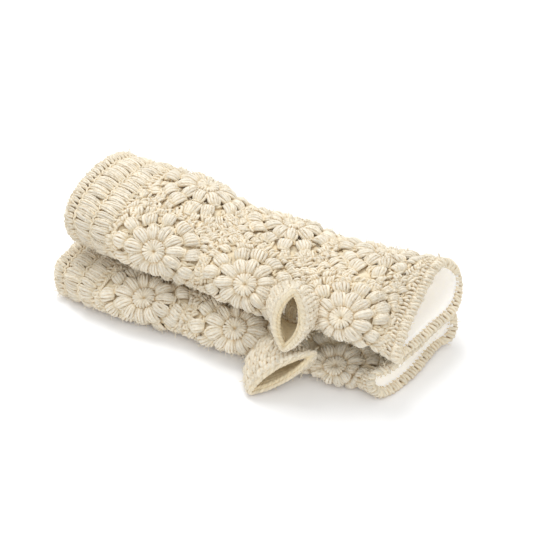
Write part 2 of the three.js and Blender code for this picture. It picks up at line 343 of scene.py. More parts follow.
def baked(source, tree, name, **values):
    # the tree's result on a source object, which it takes the place of
    modifier = source.modifiers.new("tree", "NODES")
    modifier.node_group = tree
    for item in tree.interface.items_tree:
        if item.in_out == "INPUT" and item.name in values:
            modifier[item.identifier] = values[item.name]
    evaluated = source.evaluated_get(bpy.context.evaluated_depsgraph_get())
    mesh = bpy.data.meshes.new_from_object(evaluated)
    mesh.name = name
    bpy.data.objects.remove(source)
    return addObject(name, mesh)


sleeveParts = dict(edging=7.0, cuff=31.0, square=77.5, along=3, fingers=9.5, wall=5.3, lining=2.0)
cuffEnd = sleeveParts["edging"] + sleeveParts["cuff"]
squaresEnd = cuffEnd + sleeveParts["along"] * sleeveParts["square"]
sleeveLength = squaresEnd + sleeveParts["fingers"]
thumbAt = cuffEnd + 2 * sleeveParts["square"]
stations = (0, cuffEnd, cuffEnd + sleeveParts["square"], thumbAt, sleeveLength)

gloves = dict(
    lower=dict(width=(104, 106, 101, 96, 95), thickness=(26, 30, 32, 32, 29), shift=(0, 0, 3, 6, 10),
               domeTop=2.6, domeUnder=3.4, liftUnder=0, sagOver=0.44, drawnIn=6.0, seed=11,
               wrist=((-137, -40, 0.5), (-141, -50, 5), (-145.5, -48, 14), (-149, -38, 24), (-147, -10, 27),
                      (-144, 30, 27), (-142, 50, 15), (-140, 36, 1), (-139, 0, 0.5)),
               fingers=((130, -24, 0.5), (124, -33, 5), (119.5, -35, 15), (120.5, -31, 25), (130, -18, 29.5),
                        (138, 15, 29), (144, 45, 28), (147, 57, 20), (150, 47, 8), (143, 36, 2),
                        (138, 2, 0.5))),
    upper=dict(width=(101, 105, 97, 95, 103), thickness=(42, 41, 33, 32, 35), shift=(0, 1, -3, -4, -1),
               domeTop=2.5, domeUnder=3.2, liftUnder=0.22, sagOver=0, drawnIn=-1.0, seed=23,
               wrist=((-136, -14, 33), (-140, -26, 42), (-146, -27, 54), (-150, -16, 66), (-151, 10, 74),
                      (-149, 42, 74), (-146, 64, 65), (-143, 70, 50), (-141, 60, 36), (-140, 30, 32.5),
                      (-138, 5, 32.5)),
               fingers=((134, -17, 33.5), (135, -27, 39), (134, -24, 45), (129.5, 13, 56), (130, 52, 67),
                        (133, 69, 61), (139, 75, 49), (146, 65, 37), (149, 45, 33), (143, 18, 32.5),
                        (138, 0, 32.5))),
)
mouthReach = dict(wrist=38.0, fingers=48.0)
parting = dict(wholeTo=0.2, goneAt=0.55, before=2.0, after=20.0, shortOfMouth=26.0)
bellying = dict(height=0.9, wander=1.0, lowered=0.4)


def smooth(low, high, value):
    t = np.clip((value - low) / (high - low), 0, 1)
    return t * t * (3 - 2 * t)


def eased(values, along):
    found = np.full_like(along, float(values[0]))
    for k in range(len(stations) - 1):
        found += (values[k + 1] - values[k]) * smooth(stations[k], stations[k + 1], along)
    return found


def closedCurve(points, count):
    # evenly spaced places on a smooth closed curve through the points
    points = np.array(points, float)
    t = np.linspace(0, 1, 40, endpoint=False)[:, None]
    spans = []
    for k in range(len(points)):
        a, b, c, d = (points[(k + s) % len(points)] for s in (-1, 0, 1, 2))
        spans.append(0.5 * (2 * b + (c - a) * t + (2 * a - 5 * b + 4 * c - d) * t ** 2
                            + (3 * b - a - 3 * c + d) * t ** 3))
    curve = np.concatenate(spans + [points[:1]])
    walked = np.concatenate([[0], np.cumsum(np.linalg.norm(np.diff(curve, axis=0), axis=1))])
    at = np.arange(count) / count * walked[-1]
    return np.stack([np.interp(at, walked, curve[:, k]) for k in range(3)], 1)


def wristBox(name):
    # the corners of the wrist edging, which the sleeve and the thumb are placed from
    return (np.array(corner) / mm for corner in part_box(name + "_wrist_edging"))


hostGrid = dict(rows=200, columns=288, beyond=3, quarter=360)


def makeHost(name):
    # a grid of the sleeve's outside, by length along it and by share of the way round
    glove = gloves[name]
    low, high = wristBox(name)
    start, middle, bottom = low[0], (low[1] + high[1]) / 2, low[2]
    rows, columns, quarter = hostGrid["rows"], hostGrid["columns"], hostGrid["quarter"] + 1
    along = np.linspace(-hostGrid["beyond"], sleeveLength + hostGrid["beyond"], rows)
    width, thick, shift = (eased(glove[k], along) for k in ("width", "thickness", "shift"))
    grid = np.zeros((rows, columns, 3))
    fine = np.linspace(0, turn, 4 * hostGrid["quarter"] + 1)
    for i in range(rows):
        a, b = width[i] / 2, thick[i] / 2
        power = np.where(np.cos(fine) > 0, glove["domeUnder"], glove["domeTop"])
        y = -a * np.sign(np.sin(fine)) * np.abs(np.sin(fine)) ** (2 / power)
        z = -b * np.sign(np.cos(fine)) * np.abs(np.cos(fine)) ** (2 / power)
        walked = np.concatenate([[0], np.cumsum(np.hypot(np.diff(y), np.diff(z)))])
        first = np.interp(a - b, -y[:quarter], walked[:quarter])     # where the near fold starts below
        at = (first + np.arange(columns) / columns * walked[-1]) % walked[-1]
        grid[i, :, 0] = start + along[i]
        grid[i, :, 1] = middle + shift[i] + np.interp(at, walked, y)
        grid[i, :, 2] = bottom + b + np.interp(at, walked, z)
    for end, at, way in (("wrist", 0, -1), ("fingers", sleeveLength, 1)):
        rim = closedCurve(glove[end], columns)
        share = 1 - smooth(0, mouthReach[end], way * (at - along))
        mouth = rim[None] + (along - at)[:, None, None] * np.array([1.0, 0, 0])
        grid += share[:, None, None] * (mouth - grid)
    # past the thumbs the two near folds part: one sinks and the other lifts
    low, high = grid[..., 2].min(1)[:, None], grid[..., 2].max(1)[:, None]
    across = (grid[..., 1] - grid[..., 1].min(1)[:, None]) / np.array(width)[:, None]
    apart = smooth(thumbAt - parting["before"], thumbAt + parting["after"], along)
    apart = apart * (1 - smooth(sleeveLength - parting["shortOfMouth"], sleeveLength, along))
    apart = (1 - smooth(parting["wholeTo"], parting["goneAt"], across)) * apart[:, None]
    grid[..., 1] += glove["drawnIn"] * apart
    grid[..., 2] = low + (grid[..., 2] - low) * (1 - glove["sagOver"] * apart)
    grid[..., 2] = high - (high - grid[..., 2]) * (1 - glove["liftUnder"] * apart)
    # the squares belly out between their seams, and nothing lies quite flat
    v = np.arange(columns) / columns
    belly = -np.cos((along[:, None] - cuffEnd) / sleeveParts["square"] * turn)
    belly = belly * smooth(cuffEnd - 15, cuffEnd + 5, along)[:, None]
    wander = bellying["wander"] * np.sin(along[:, None] / 17 + 9 * v[None, :] * turn / 6 + glove["seed"])
    side = smooth(0.02, 0.12, v) * (1 - smooth(0.56, 0.66, v))
    swell = bellying["height"] * belly + wander - bellying["lowered"]
    grid += gridNormals(grid) * (swell * side[None, :])[..., None]
    loop = np.concatenate([grid, grid[:, :1]], 1)
    return dict(name=name, grid=grid, normal=gridNormals(grid), along=along,
                perimeter=np.linalg.norm(np.diff(loop, axis=1), axis=2).sum(1))


def gridNormals(grid):
    du = np.gradient(grid, axis=0)
    dv = np.roll(grid, -1, axis=1) - np.roll(grid, 1, axis=1)
    normal = np.cross(du, dv)
    return normal / np.linalg.norm(normal, axis=2, keepdims=True)


def onSleeve(host, u, v, h):
    # the points at these lengths, shares round and heights over the sleeve's outside
    rows, columns = host["grid"].shape[:2]
    i = np.clip((u - host["along"][0]) / (host["along"][1] - host["along"][0]), 0, rows - 1.001)
    j = (v % 1) * columns
    i0, j0 = i.astype(int), j.astype(int) % columns
    fi, fj = (i - i0)[..., None], (j - np.floor(j))[..., None]
    i1, j1 = i0 + 1, (j0 + 1) % columns

    def sampled(table):
        near = table[i0, j0] * (1 - fj) + table[i0, j1] * fj
        far = table[i1, j0] * (1 - fj) + table[i1, j1] * fj
        return near * (1 - fi) + far * fi

    return sampled(host["grid"]) + sampled(host["normal"]) * np.asarray(h)[..., None]


def roundAt(host, u):
    return np.interp(u, host["along"], host["perimeter"])


thumbs = dict(
    lower=dict(rise=-5, reach=(9, -13, 4), halfWidth=29.5, halfHeight=11, across=(0.64, 0.57, 0.51),
               facing=(0.54, -0.83, -0.17), pointWidth=0.0, pointHeight=0.7),
    upper=dict(rise=30, reach=(9, -19, 7), halfWidth=12.5, halfHeight=25.5, across=(1.0, 0.05, -0.04),
               facing=(0.06, -0.96, 0.29), pointWidth=0.7, pointHeight=0.0),
)
thumbRoot = dict(halfWidth=23, halfHeight=16)


def unit(vector):
    vector = np.asarray(vector, float)
    return vector / np.linalg.norm(vector)


def thumbSection(size, t, theta, h):
    # the tube's section: an ellipse at the root that comes to a point at both ends by the mouth
    halfWidth = thumbRoot["halfWidth"] * (1 - t) + size["halfWidth"] * t + h
    halfHeight = thumbRoot["halfHeight"] * (1 - t) + size["halfHeight"] * t + h
    x, y = np.cos(theta), np.sin(theta)
    return (halfWidth * x * np.abs(x) ** (size["pointWidth"] * t ** 0.4),
            halfHeight * y * np.abs(y) ** (size["pointHeight"] * t ** 0.4))


def makeThumb(name):
    # the tube's frame: where it leaves the fold, where its mouth is, and how its ring turns
    thumb, glove = thumbs[name], gloves[name]
    low, high = wristBox(name)
    radius = glove["thickness"][3] / 2
    y = (low[1] + high[1]) / 2 + glove["shift"][3] - glove["width"][3] / 2 + radius
    middle = np.array([low[0] + thumbAt, y, low[2] + radius])
    rise = math.radians(thumb["rise"])
    out = np.array([0, -math.cos(rise), math.sin(rise)])
    root = middle + out * radius
    mouth = root + np.array(thumb["reach"])
    across = unit(thumb["across"])
    facing = np.array(thumb["facing"]) - np.dot(thumb["facing"], across) * across
    facing = unit(facing)
    bend = np.linalg.norm(mouth - root) * 0.5
    theta = np.linspace(0, turn, 721)
    x, y = thumbSection(thumb, 1, theta, 0)
    walked = np.concatenate([[0], np.cumsum(np.hypot(np.diff(x), np.diff(y)))])
    return dict(name=name, size=thumb, middle=middle, root=root, mouth=mouth, out=out, across=across,
                down=-np.cross(facing, across), firstArm=root + out * bend * 0.3,
                lastArm=mouth - facing * bend, length=np.linalg.norm(mouth - middle),
                theta=theta, walked=walked / walked[-1])


def onThumb(host, t, turned, h):
    # the points at these shares of the tube's length and round it, and heights over its outside
    t, turned, h = np.broadcast_arrays(np.asarray(t, float), turned, h)
    s = t[..., None]
    centre = (host["middle"] * (1 - s) ** 3 + 3 * host["firstArm"] * s * (1 - s) ** 2
              + 3 * host["lastArm"] * s ** 2 * (1 - s) + host["mouth"] * s ** 3)
    wide = np.array([1.0, 0, 0]) * (1 - s) + host["across"] * s
    high = np.array([0, -host["out"][2], host["out"][1]]) * (1 - s) + host["down"] * s
    wide = wide / np.linalg.norm(wide, axis=-1, keepdims=True)
    high = high / np.linalg.norm(high, axis=-1, keepdims=True)
    x, y = thumbSection(host["size"], t, np.interp(turned % 1, host["walked"], host["theta"]), h)
    return centre + wide * x[..., None] + high * y[..., None]


hosts = {name: makeHost(name) for name in gloves}
thumbHosts = {name: makeThumb(name) for name in gloves}
print("surfaces ready")


yarn = dict(radius=1.2, sides=6, steps=2, backHeight=-3.2, frontHeight=0.6)


def strandObject(name, strands):
    # one mesh of open lines; each strand is points in millimetres, a radius, a height and a shade
    points = np.concatenate([s[0] for s in strands]) * mm
    counts = [len(s[0]) for s in strands]
    radius = np.concatenate([np.broadcast_to(s[1], n) for s, n in zip(strands, counts)]) * mm
    # the depth share, from the backs up to the fronts, sets the wool's painted shade and which strands grow
    # hairs
    depth = np.concatenate([np.broadcast_to(s[2], n) for s, n in zip(strands, counts)])
    depth = np.clip((depth - yarn["backHeight"]) / (yarn["frontHeight"] - yarn["backHeight"]), 0, 1)
    tint = np.concatenate([np.full(n, s[3]) for s, n in zip(strands, counts)])
    ends = np.cumsum(counts)
    first = np.arange(len(points) - 1)
    first = first[~np.isin(first, ends - 1)]
    mesh = bpy.data.meshes.new(name)
    mesh.vertices.add(len(points))
    mesh.vertices.foreach_set("co", points.astype(np.float32).ravel())
    mesh.edges.add(len(first))
    mesh.edges.foreach_set("vertices", np.stack([first, first + 1], 1).astype(np.int32).ravel())
    for label, values in (("yarnRadius", radius), ("depth", depth), ("tint", tint)):
        mesh.attributes.new(label, "FLOAT", "POINT").data.foreach_set("value", values.astype(np.float32))
    mesh.update()
    return addObject(name, mesh)


resting = dict(table=1.2, lowerTop=31.0, upperUnder=33.6, openAt=-30.0, coveredAt=-12.0, openRise=20.0)


def settled(name, points):
    # strands squashed where the gloves lie on the table and on each other
    points = points.copy()
    if name.startswith("lower"):
        covered = smooth(resting["openAt"], resting["coveredAt"], points[:, 1])
        ceiling = resting["lowerTop"] + (1 - covered) * resting["openRise"]
        points[:, 2] = np.clip(points[:, 2], resting["table"], ceiling)
    else:
        points[:, 2] = np.maximum(points[:, 2], resting["upperUnder"])
    return points


def spun(name, strands, sides=None):
    strands = [(settled(name, s[0]), *s[1:]) for s in strands]
    source = strandObject(name + "Lines", strands)
    return baked(source, spinYarn, name, Sides=sides or yarn["sides"], Steps=yarn["steps"], Wool=wool)


def joined(name, pieces):
    # several baked meshes as one piece
    bpy.ops.object.select_all(action="DESELECT")
    for piece in pieces:
        piece.select_set(True)
    bpy.context.view_layer.objects.active = pieces[0]
    bpy.ops.object.join()
    pieces[0].name = name
    pieces[0].data.name = name
    return pieces[0]


def gridMesh(name, points, keep=None, rowLoop=False, loop=True, flipped=False):
    # faces through a grid of points in millimetres, which may close on itself either way
    rows, columns = points.shape[:2]
    faces = []
    for i in range(rows if rowLoop else rows - 1):
        for j in range(columns if loop else columns - 1):
            if keep is None or keep[i, j]:
                a, b = i * columns, (i + 1) % rows * columns
                k = (j + 1) % columns
                faces.append((a + j, a + k, b + k, b + j) if flipped else (a + j, b + j, b + k, a + k))
    mesh = bpy.data.meshes.new(name)
    mesh.from_pydata((points.reshape(-1, 3) * mm).tolist(), [], faces)
    return mesh


def sheetObject(name, points, keep=None, thickness=0.8, material=None, depth=0.0, loop=True):
    # a thin closed layer through a grid of points
    source = addObject(name, gridMesh(name, points, keep, loop=loop))
    solid = source.modifiers.new("solid", "SOLIDIFY")
    solid.thickness = thickness * mm
    solid.offset = 0
    evaluated = source.evaluated_get(bpy.context.evaluated_depsgraph_get())
    made = addObject(name, bpy.data.meshes.new_from_object(evaluated))
    bpy.data.objects.remove(source)
    mesh = made.data
    mesh.materials.append(material)
    mesh.shade_smooth()
    for label, value in (("depth", depth), ("tint", 0.5)):
        mesh.attributes.new(label, "FLOAT", "POINT").data.foreach_set("value", [value] * len(mesh.vertices))
    return made


def finishPiece(piece, node, body, across=None):
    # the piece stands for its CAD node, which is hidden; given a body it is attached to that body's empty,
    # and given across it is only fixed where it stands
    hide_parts(node)
    if across:
        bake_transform(piece)
    else:
        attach(piece, body)


flower = dict(discStrands=21, discRadius=8.2, petals=11, petalFrom=9.4, petalTo=23.4, clusterStrands=5,
              petalHalfWidth=5.2, petalHeight=1.2, outerClusters=13, outerFrom=24.4, outerTo=35.2,
              outerHalfWidth=5.9, rounds=((35.6, 2.0), (36.6, 4.0), (37.8, 12.0)), groups=(26, 30),
              fillers=150, jitter=0.26)


def polar(theta, rho, lateral, height):
    # points out along a ray, moved sideways from it
    rho, lateral, height = np.broadcast_arrays(np.asarray(rho, float), lateral, height)
    return np.stack([rho * math.cos(theta) - lateral * math.sin(theta),
                     rho * math.sin(theta) + lateral * math.cos(theta), height], -1)


def squarish(size, power, theta):
    # the radius of a round that goes from circle to square as its power grows
    return size / (np.abs(np.cos(theta)) ** power + np.abs(np.sin(theta)) ** power) ** (1 / power)


def flowerStrands(random, offset):
    # one square, flat, its flower moved round by the offset: strands of points (across, along, height)
    made = []

    def strand(points, radius=yarn["radius"]):
        loose = random.normal(0, flower["jitter"], (len(points), 3)) * (0.7, 0.7, 0.5)
        loose[:, 1] += offset * smooth(39, 33, np.hypot(points[:, 0], points[:, 1]))
        made.append((points + loose, radius * random.uniform(0.92, 1.08)))

    spin = random.uniform(0, turn)
    for k in range(flower["discStrands"]):
        theta = turn * (k + random.uniform(-0.1, 0.1)) / flower["discStrands"] + spin
        strand(polar(theta, (1.3, 2.8, 5.2, 7.4, flower["discRadius"], 8.8), 0,
                     (-3.4, -1.0, 0.0, 0.2, -0.8, -2.6)), 1.25)
    ripe = np.array([0.62, 0.92, 1.0, 0.97, 0.6])
    rise = np.array([-2.2, 0.3, 0.9, 0.5, -1.8])

    def cluster(theta, rho, halfWidth, sway, crown, droop, radius, cap):
        # strands side by side that are held together by one across their outer end
        for s in np.linspace(-1, 1, flower["clusterStrands"]):
            height = rise + (crown - droop * s * s) * ripe
            strand(polar(theta, rho, s * (halfWidth - 1.2) + sway, height), radius)
        back, wide, narrow, low = cap
        band = ((back, -wide, low), (0.8, -narrow, -0.8), (0.8, narrow, -0.8), (back, wide, low))
        strand(np.stack([polar(theta, rho[-1] + r, w, h) for r, w, h in band]), 1.15)

    for k in range(flower["petals"]):
        theta = turn * (k + random.uniform(-0.1, 0.1)) / flower["petals"] + spin
        rho = np.linspace(flower["petalFrom"], flower["petalTo"] + random.uniform(-1.6, 1.0), 5)
        plump = random.uniform(0.88, 1.08)
        swerve = random.uniform(-3.0, 3.0) * np.linspace(-0.5, 0.5, 5) ** 2
        cluster(theta, rho, flower["petalHalfWidth"] * plump * ripe, swerve, flower["petalHeight"] * plump,
                1.7, 1.4, (0.0, 3.6, 1.2, -2.0))
    for k in range(flower["outerClusters"]):
        theta = turn * (k + random.uniform(-0.16, 0.16)) / flower["outerClusters"] + spin * 2
        lean = random.uniform(-3.0, 3.0) * np.linspace(-0.5, 0.5, 5)
        rho = np.linspace(flower["outerFrom"], flower["outerTo"] + random.uniform(-2.0, 0.8), 5)
        wide = flower["outerHalfWidth"] * random.uniform(0.8, 1.1)
        cluster(theta, rho, wide * (0.3 + 0.7 * ripe), lean, 0.5, 1.1, 1.5, (0.2, 4.0, 1.4, -1.8))
    for (inner, outer), count in zip(zip(flower["rounds"], flower["rounds"][1:]), flower["groups"]):
        for k in range(count):
            theta = turn * (k + random.uniform(-0.2, 0.2)) / count + 0.13 * count
            low, high = squarish(*inner, theta), squarish(*outer, theta)
            if high - low < 2.4:
                continue
            fan = random.choice((-1, 1)) * random.uniform(0.3, 1.6)
            for s in (-1, 0, 1):
                lateral = s * 2.1 + fan * np.linspace(-1, 1, 4)
                strand(polar(theta, np.linspace(low, high, 4), lateral, (-2.2, -0.2, 0.0, -1.8)), 1.3)
        theta = np.linspace(0, turn, 81)
        rho = squarish(*outer, theta)
        for way in (-1, 1):
            wave = way * np.cos(theta * count)
            ring = np.stack([(rho + 0.7 * wave) * np.cos(theta), (rho + 0.7 * wave) * np.sin(theta),
                             -2.2 + 0.6 * np.sin(theta * count + way)], -1)
            strand(ring, 1.1)
    half = sleeveParts["square"] / 2
    for k in range(flower["fillers"]):                       # stitches of the ground between the clusters
        place = random.uniform(-half - 1, half + 1, 2)
        away = np.hypot(*place)
        if away > 23:
            theta = math.atan2(place[1], place[0]) + random.choice((0, 0, turn / 4)) + random.normal(0, 0.5)
            reach = np.array([math.cos(theta), math.sin(theta)]) * random.uniform(2.4, 4.4)
            side = np.array([-reach[1], reach[0]]) * 0.45
            top = -1.6 + 1.5 * smooth(30, 38, away)
            for s in (-1, 1):
                strand(np.array([(*(place - reach + 0.4 * s * side), -2.9), (*(place + s * side), top),
                                 (*(place + reach + 0.4 * s * side), -2.9)]), 1.35)
    return made


def squareOnSleeve(host, column, row, random):
    # a flower square laid on its place of the sleeve, with the backs of its stitches below: a sheet that
    # stands for their back loops and is tan with painted shade
    u0 = cuffEnd + (column + 0.5) * sleeveParts["square"]
    perimeter = roundAt(host, u0)
    v0 = (row + 0.5) / 3
    stretch = perimeter / 3 / sleeveParts["square"]
    strands = []
    for points, radius in flowerStrands(random, 4.0 if row == 1 else 0.0):
        placed = onSleeve(host, u0 + points[:, 0], v0 + points[:, 1] * stretch / perimeter, points[:, 2])
        if not inThumb(host["name"], placed.mean(0)):
            strands.append((placed, radius, points[:, 2], random.uniform(0, 1)))
    half = sleeveParts["square"] / 2
    grid = np.linspace(-half, half, 25)
    p, q = np.meshgrid(grid, grid, indexing="ij")
    lumps = random.normal(0, 0.5, p.shape)
    points = onSleeve(host, u0 + p, v0 + q * stretch / perimeter, yarn["backHeight"] + lumps)
    centres = (points[:-1, :-1] + points[1:, 1:]) / 2
    keep = np.array([[not inThumb(host["name"], c) for c in line] for line in centres])
    name = f'{host["name"]}Square{("Near", "Far", "Under")[row]}{column + 1}'
    backs = sheetObject(name + "Backs", points, keep, material=wool, depth=0.2, loop=False)
    return joined(name, [spun(name, strands), backs])


def inThumb(name, point):
    # whether a point is in the way from the hand's space into the thumb
    thumb = thumbHosts[name]
    offset = point - thumb["middle"]
    outward = float(offset @ thumb["out"])
    aside = offset[0] / (thumbRoot["halfWidth"] - 5)
    over = float(offset @ np.array([0, thumb["out"][2], -thumb["out"][1]])) / (thumbRoot["halfHeight"] - 6)
    return outward > 0 and aside ** 2 + over ** 2 < 1


def sleeveStrand(host, u, around, height, v0, radius, random, jitter=0.2):
    # a strand given by lengths along, millimetres round from v0, and heights
    u, around, height = (np.asarray(a, float) for a in np.broadcast_arrays(u, around, height))
    u = u + random.normal(0, jitter, u.shape)
    around = around + random.normal(0, jitter, u.shape)
    placed = onSleeve(host, u, v0 + around / roundAt(host, u), height)
    return placed, radius * random.uniform(0.92, 1.08), height, random.uniform(0, 1)


def chainRound(host, u, height, count, random, swing=0.8, radius=0.95):
    # two strands that cross and cross again, all the way round
    v = np.linspace(0, 1, count * 3 + 1)
    made = []
    for way in (-1, 1):
        wave = way * np.cos(v * turn * count)
        lift = height + 0.45 * way * np.sin(v * turn * count)
        placed = onSleeve(host, np.full_like(v, u) + swing * wave, v, lift)
        made.append((placed, radius, lift, random.uniform(0.3, 0.7)))
    return made


braid = dict(pitch=4.6, halfWidth=2.3, radius=1.15)


def braidPiece(host, random):
    strands = []
    for column in range(sleeveParts["along"] + 1):
        u = cuffEnd + column * sleeveParts["square"]
        count = int(roundAt(host, u) / braid["pitch"])
        for k in range(count):
            strands.append(sleeveStrand(host, u + np.array([-1, -0.4, 0.4, 1]) * braid["halfWidth"],
                                        (-0.9, -0.4, 0.4, 0.9), (-2.2, -0.7, -0.7, -2.2),
                                        (k + random.uniform(-0.2, 0.2)) / count, braid["radius"], random))
        strands += chainRound(host, u - 3.0, -1.5, count, random)
        strands += chainRound(host, u + 3.0, -1.5, count, random)
    for row in range(3):
        count = int((squaresEnd - cuffEnd) / braid["pitch"])
        for k in range(count):
            u = cuffEnd + (k + 0.5) * (squaresEnd - cuffEnd) / count
            strands.append(sleeveStrand(host, u + np.array([-0.9, -0.4, 0.4, 0.9]),
                                        np.array([-1, -0.4, 0.4, 1]) * braid["halfWidth"],
                                        (-2.2, -0.7, -0.7, -2.2), row / 3, braid["radius"], random))
    strands = [s for s in strands if len(s[0]) > 10 or not inThumb(host["name"], s[0].mean(0))]
    return spun(host["name"] + "JoiningBraid", strands)


cuff = dict(posts=44, rows=((8.2, 22.4), (23.0, 37.2)), strandGap=1.75, radius=1.2)


def sleeveBacks(host, low, high, rows, height):
    # the backs of the stitches, all the way round: a sheet that stands for their back loops and is tan with
    # painted shade
    v, u = np.meshgrid(np.arange(120) / 120, np.linspace(low, high, rows))
    return sheetObject("backs", onSleeve(host, u, v, np.full_like(u, height)), material=wool, depth=0.35)


def cuffPiece(host, random):
    strands = []
    for row, (low, high) in enumerate(cuff["rows"]):
        for k in range(cuff["posts"]):
            v = (k + 0.5 * row + random.uniform(-0.1, 0.1)) / cuff["posts"]
            lean = random.uniform(-1.0, 1.6)
            first, last = low + random.uniform(-0.7, 0.7), high + random.uniform(-0.7, 0.7)
            for s in (-1, 0, 1):
                spread = np.array([0.75, 1.0, 1.05, 1.0, 0.7])
                strands.append(sleeveStrand(host, np.linspace(first, last, 5),
                                            s * cuff["strandGap"] * spread + lean * np.linspace(-1, 1, 5),
                                            np.array([-2.0, 0.1, 0.7, 0.2, -1.9]) - 0.5 * s * s, v,
                                            cuff["radius"], random))
            strands.append(sleeveStrand(host, (low + 0.6, low - 0.6, low + 0.4), (-2.6, 0, 2.6),
                                        (-1.6, -0.9, -1.6), v, 1.0, random))
    backs = sleeveBacks(host, cuff["rows"][0][0] - 2, cuff["rows"][1][1] + 1, 10, -2.6)
    return joined(host["name"] + "Cuff", [spun(host["name"] + "Cuff", strands), backs])


def rimLoops(host, rim, sign, count, random, reach):
    # short strands that go over a mouth's rim, from outside to inside
    profile = ((reach, -0.5), (0.6, 0.1), (-0.9, -1.2), (-1.0, -3.0), (0.8, -4.9), (reach + 0.6, -5.7))
    u = np.array([rim + sign * a for a, _ in profile])
    height = np.array([h for _, h in profile])
    loops = [sleeveStrand(host, u, np.linspace(-1.3, 1.3, 6), height,
                          (k + random.uniform(-0.25, 0.25)) / count, 1.5, random, 0.4) for k in range(count)]
    # the loops' painted shade stays light: their depth goes no lower than -1
    return [(points, radius, np.maximum(depth, -1.0), tint) for points, radius, depth, tint in loops]


wristWork = dict(stitches=54, loops=84, loopReach=2.6)


def wristEdgingPiece(host, random):
    strands = []
    count = wristWork["stitches"]
    for k in range(count):
        for s in (-1, 1):
            strands.append(sleeveStrand(host, (1.2, 3.0, 5.2, 7.0), np.array([1.2, 1.2, 0.9, 0.4]) * s,
                                        (-1.2, 0.1, 0.0, -1.8), k / count, 1.25, random))
    strands += chainRound(host, 1.8, -0.5, count, random, 0.8, 1.15)
    strands += rimLoops(host, 0.8, 1, wristWork["loops"], random, wristWork["loopReach"])
    return spun(host["name"] + "WristEdging", strands)


fingerWork = dict(rounds=(66, 84), chains=(50, 54, 46), loops=74, loopReach=3.6)


def fingerEdgingPiece(host, random):
    strands = []
    middle = squaresEnd + 4.6
    edges = (squaresEnd + 0.4, middle, sleeveLength - 1.6)
    for low, high, count in zip(edges, edges[1:], fingerWork["rounds"]):
        for k in range(count):
            strands.append(sleeveStrand(host, np.linspace(low, high, 4), np.array([0.5, 0.3, -0.3, -0.5]),
                                        (-1.5, -0.1, 0.0, -1.2), k / count, 1.3, random))
    first, second, last = fingerWork["chains"]
    strands += chainRound(host, middle, -0.8, first, random)
    strands += chainRound(host, sleeveLength - 1.6, -0.7, second, random)
    strands += chainRound(host, sleeveLength - 0.4, -1.9, last, random, 0.6, 1.35)
    strands += rimLoops(host, sleeveLength - 0.8, -1, fingerWork["loops"], random, fingerWork["loopReach"])
    backs = sleeveBacks(host, squaresEnd - 2, sleeveLength - 1.5, 7, -2.8)
    return joined(host["name"] + "FingerEdging", [spun(host["name"] + "FingerEdging", strands), backs])


lining = dict(wristBack=4.0, underBack=3.6, topBack=2.2, outer=-5.2, rows=80, columns=120, ripple=0.3,
              roll=1.8, underRoll=0.9)


def underside(v):
    # 1 on the sleeve's lower layer, 0 over the near fold and the top
    return np.maximum(1 - smooth(-0.02, 0.03, v), smooth(0.6, 0.68, v))


def liningEnd(v):
    # how far along the fleece reaches: to the rim above, short of it below
    return sleeveLength - lining["topBack"] - underside(v) * (lining["underBack"] - lining["topBack"])


def evened(points):
    # the points with each ring's creases smoothed out
    for _ in range(12):
        points = (np.roll(points, 1, axis=1) + 2 * points + np.roll(points, -1, axis=1)) / 4
    return points


def fleeceRoll(host):
    # the soft edge where the fleece is turned over at the finger end
    v, turned = np.meshgrid(np.arange(220) / 220, np.arange(14) / 14)
    size = lining["roll"] + (lining["underRoll"] - lining["roll"]) * underside(v)
    size = size * (1 + 0.08 * np.sin(v * turn * 23) + 0.06 * np.sin(v * turn * 41 + 2))
    u = liningEnd(v) + 1.2 * size * np.cos(turned * turn)
    height = lining["outer"] + 0.9 * (size - lining["underRoll"]) + size * np.sin(turned * turn)
    mesh = gridMesh("roll", evened(onSleeve(host, u, v, height)), rowLoop=True, flipped=True)
    mesh.materials.append(fleece)
    mesh.shade_smooth()
    return addObject("roll", mesh)


def liningPiece(host):
    rows, columns = lining["rows"], lining["columns"]
    v, share = np.meshgrid(np.arange(columns) / columns, np.linspace(0, 1, rows))
    u = lining["wristBack"] + (liningEnd(v) - lining["wristBack"]) * share
    middle = lining["outer"] - sleeveParts["lining"] / 2
    ripple = lining["ripple"] * (np.sin(u / 5.3 + 3 * np.sin(v * turn * 3)) + np.sin(v * turn * 17 + u / 9))
    keep = np.array([[not inThumb(host["name"], c) for c in line]
                     for line in onSleeve(host, u, v, np.full_like(u, middle))])
    cloth = sheetObject(host["name"] + "Lining", evened(onSleeve(host, u, v, middle + ripple)), keep[:-1],
                        sleeveParts["lining"], fleece, 1.0)
    return joined(host["name"] + "Lining", [cloth, fleeceRoll(host)])


hem = dict(stitches=56, thumbStitches=30, radius=0.4)


def hemPiece(host, name, u, sign, random):
    strands = [sleeveStrand(host, u + sign * np.array([-0.9, 0.2, 0.9]), (-0.8, 0, 0.8), (-6.4, -7.4, -6.6),
                            k / hem["stitches"], hem["radius"], random, 0.1) for k in range(hem["stitches"])]
    return spun(name, strands, 5)


thumbWork = dict(start=0.12, backsFrom=0.1, rows=5, stitches=19, radius=1.95, ropeTurns=17, wall=6.0,
                 liningDepth=6.6, liningThick=1.6, liningSetBack=31.0, edging=4.0)


def thumbStrand(host, t, around, height, radius, random):
    # a strand given by shares of the tube's length, shares round it, and heights
    t, around, height = (np.asarray(a, float) for a in np.broadcast_arrays(t, around, height))
    around = around + random.normal(0, 0.0012, t.shape)
    height = height + random.normal(0, 0.12, t.shape)
    return onThumb(host, t, around, height), radius * random.uniform(0.92, 1.08), height, random.uniform(0, 1)


